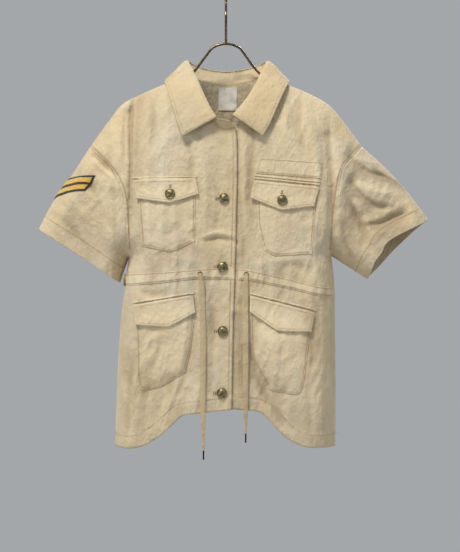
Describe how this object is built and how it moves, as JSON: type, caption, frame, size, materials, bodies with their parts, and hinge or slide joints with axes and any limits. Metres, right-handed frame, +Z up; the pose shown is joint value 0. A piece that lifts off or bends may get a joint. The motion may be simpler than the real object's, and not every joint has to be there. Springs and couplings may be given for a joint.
{
  "type": "safari jacket on a hanger",
  "caption": "Short-sleeved boxy cotton safari jacket with collar, buttoned front, flap patch pockets and a waist drawcord, hanging on a wire hanger.",
  "frame": {"origin": "inner top of the hanger's hook, where the hook bears on a rail", "axes": "+X to the right of someone facing the jacket, -Y the way its front faces, +Z up"},
  "size_m": [0.778, 0.1691, 0.9249],
  "materials": {
    "cotton": "matte crisp cotton weave, cream to sand",
    "tape": "flat woven cotton tape",
    "label": "plain off-white woven label",
    "patch": "embroidered gold bars on black",
    "button_metal": "antiqued, domed",
    "aglet": "black tip",
    "wire": "dark antiqued wire"
  },
  "bodies": {
    "root": {"front_left": "cotton", "front_right": "cotton", "back": "cotton", "sleeve_left": "cotton", "sleeve_right": "cotton", "collar": "cotton", "collar_stand": "cotton", "chest_pocket_left": "cotton", "chest_pocket_right": "cotton", "chest_flap_left": "cotton", "chest_flap_right": "cotton", "lower_pocket_left": "cotton", "lower_pocket_right": "cotton", "lower_flap_left": "cotton", "lower_flap_right": "cotton", "waist_channel_left": "cotton", "waist_channel_right": "cotton", "waist_channel_back": "cotton", "name_tape": "cotton", "drawcord_left": "tape", "drawcord_right": "tape", "neck_label": "label", "chevron_patch": "patch", "placket_button_1": "button_metal", "placket_button_2": "button_metal", "placket_button_3": "button_metal", "placket_button_4": "button_metal", "flap_button_left": "button_metal", "flap_button_right": "button_metal", "eyelet_left": "button_metal", "eyelet_right": "button_metal", "aglet_left": "aglet", "aglet_right": "aglet", "hanger": "wire"}
  },
  "joints": []
}
